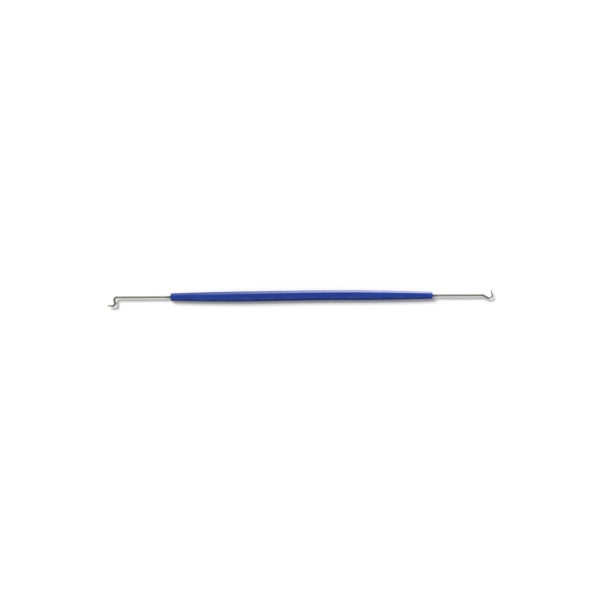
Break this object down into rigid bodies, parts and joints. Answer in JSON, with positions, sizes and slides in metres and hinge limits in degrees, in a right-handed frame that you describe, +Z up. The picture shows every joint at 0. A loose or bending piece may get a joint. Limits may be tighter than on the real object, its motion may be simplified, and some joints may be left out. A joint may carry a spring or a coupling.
{
  "type": "double-ended hook scriber",
  "caption": "Slim six-sided plastic handle, thinner towards its ends, with a bent steel wire hook moulded into each end: a stepped foot for pushing and an open crook for pulling.",
  "frame": {"origin": "middle of the handle's flat that the tool rests on", "axes": "+X along the tool from the push hook to the pull hook, +Z up, square to the flat that it rests on, so the hooks bend in a horizontal plane; the pull hook's tip points towards +Y"},
  "size_m": [0.1775, 0.007, 0.0041],
  "materials": {
    "handle_plastic": "gloss",
    "hook_steel": "polished"
  },
  "bodies": {
    "root": {"handle": "handle_plastic", "push_hook": "hook_steel", "pull_hook": "hook_steel"}
  },
  "joints": []
}
